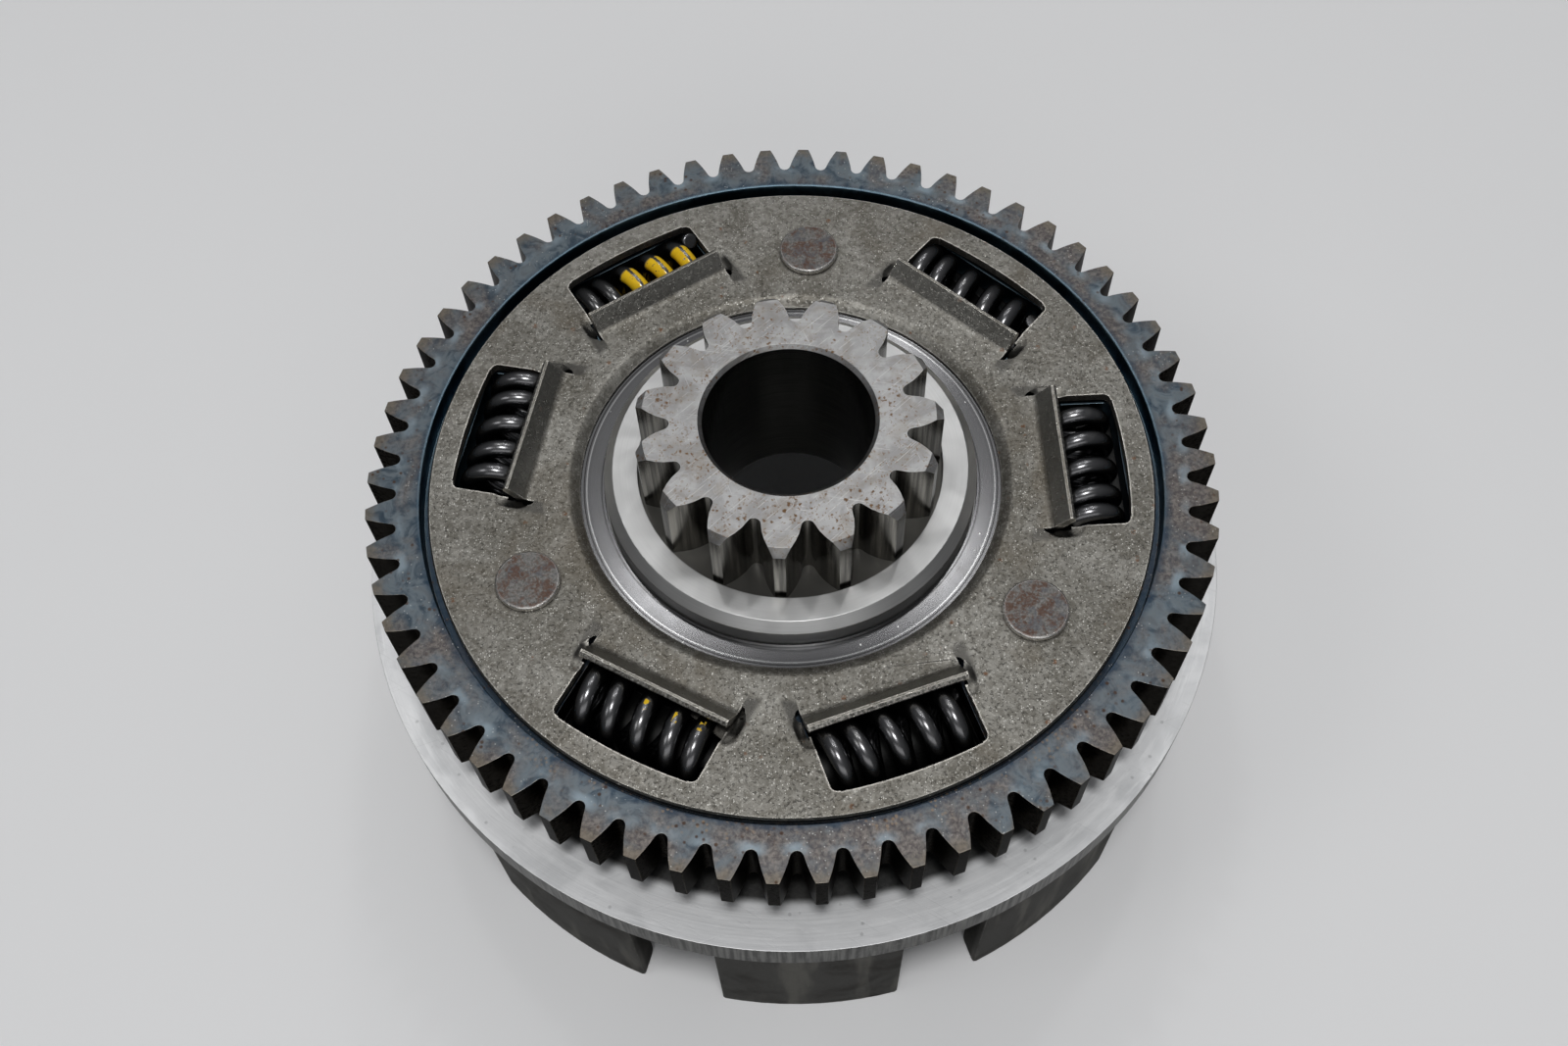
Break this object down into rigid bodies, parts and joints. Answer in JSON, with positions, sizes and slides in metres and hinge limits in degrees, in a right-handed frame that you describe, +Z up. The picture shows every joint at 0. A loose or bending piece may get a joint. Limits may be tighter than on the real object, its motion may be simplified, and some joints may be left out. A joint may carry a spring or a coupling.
{
  "type": "motorcycle clutch basket with primary driven gear",
  "caption": "Wet clutch basket of cast aluminium with a spring-cushioned primary driven gear, riveted retaining plate and a small drive pinion on the hub.",
  "frame": {"origin": "on the common axis, in the plane of the finger tips that the part stands on", "axes": "+Z up along the common axis towards the pinion; +X to the right of the front view, which looks along +Y"},
  "size_m": [0.1356, 0.1356, 0.0707],
  "materials": {
    "cast_aluminium": "machined flange, dark cast fingers",
    "plate_steel": "matt pressed steel",
    "rivet_steel": "matt with light rust",
    "gear_steel": "heat tinted, satin",
    "pinion_steel": "ground, rust specks",
    "spring_steel": "polished",
    "washer_bronze": "satin",
    "black_spring": "gloss black"
  },
  "bodies": {
    "basket": {"clutch_basket": "cast_aluminium", "basket_fingers": "cast_aluminium", "retaining_plate": "plate_steel", "rivet_1": "rivet_steel", "rivet_2": "rivet_steel", "rivet_3": "rivet_steel"},
    "gear": {"primary_gear": "gear_steel", "drive_pinion": "pinion_steel", "cone_spring": "spring_steel", "thrust_washer": "washer_bronze"},
    "springs": {"damper_spring_1": "black_spring", "damper_spring_2": "black_spring", "damper_spring_3": "black_spring", "damper_spring_4": "black_spring", "damper_spring_5": "black_spring", "damper_spring_6": "black_spring"}
  },
  "joints": [
    {"name": "damper_twist", "type": "hinge", "parent": "basket", "child": "gear", "pos_m": [0, 0, 0.05], "axis": [0, 0, 1], "range_deg": [-4, 4], "stiffness_Nm_per_rad": 200, "deforming": ["damper_spring_1", "damper_spring_2", "damper_spring_3", "damper_spring_4", "damper_spring_5", "damper_spring_6"]},
    {"name": "spring_follow", "type": "hinge", "parent": "basket", "child": "springs", "pos_m": [0, 0, 0.05], "axis": [0, 0, 1], "range_deg": [-2, 2], "deforming": ["damper_spring_1", "damper_spring_2", "damper_spring_3", "damper_spring_4", "damper_spring_5", "damper_spring_6"]}
  ],
  "couplings": [
    {"joint": "spring_follow", "follows": "damper_twist", "ratio": 0.5}
  ]
}
